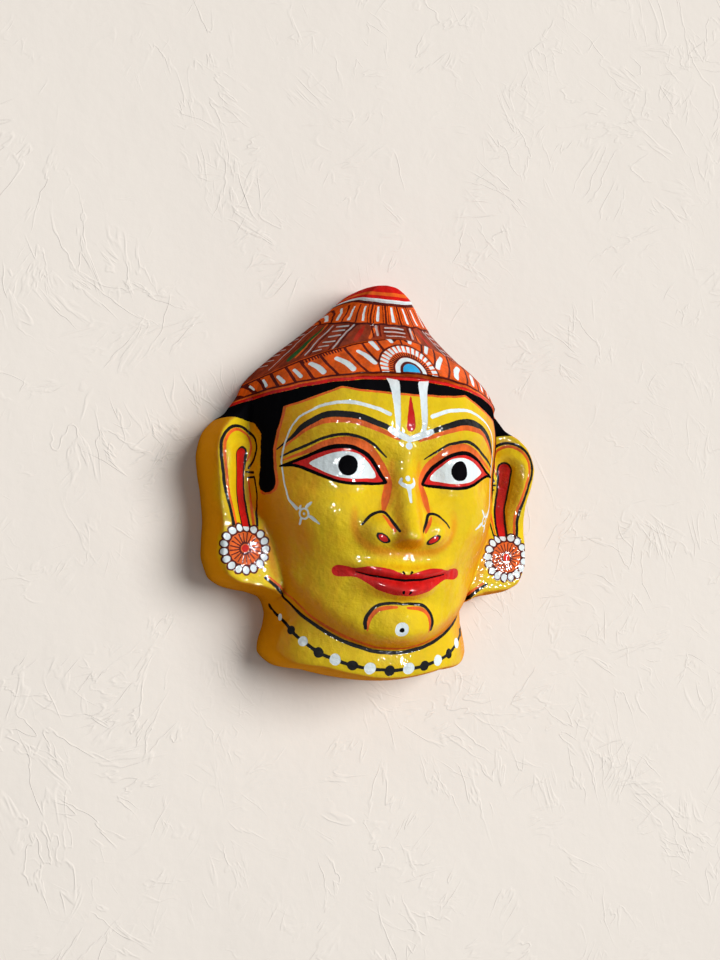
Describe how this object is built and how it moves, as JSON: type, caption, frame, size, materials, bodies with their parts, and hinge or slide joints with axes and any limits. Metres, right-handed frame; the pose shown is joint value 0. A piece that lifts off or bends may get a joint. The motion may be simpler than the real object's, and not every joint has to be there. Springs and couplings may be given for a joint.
{
  "type": "papier-mache mask",
  "caption": "Hollow papier-mache wall mask with a pointed hat, long ears and painted folk ornament.",
  "frame": {"origin": "under the middle of the mask, on the plane of its back rim", "axes": "+Z out of the face, +Y towards the point of the hat, +X to the viewer's right; the mask lies on its back rim"},
  "size_m": [0.225, 0.258, 0.0995],
  "materials": {
    "painted_paper": "layered paper, hand painted in yellow, red, orange, black and white under a clear gloss varnish"
  },
  "bodies": {
    "root": {"mask_shell": "painted_paper"}
  },
  "joints": []
}
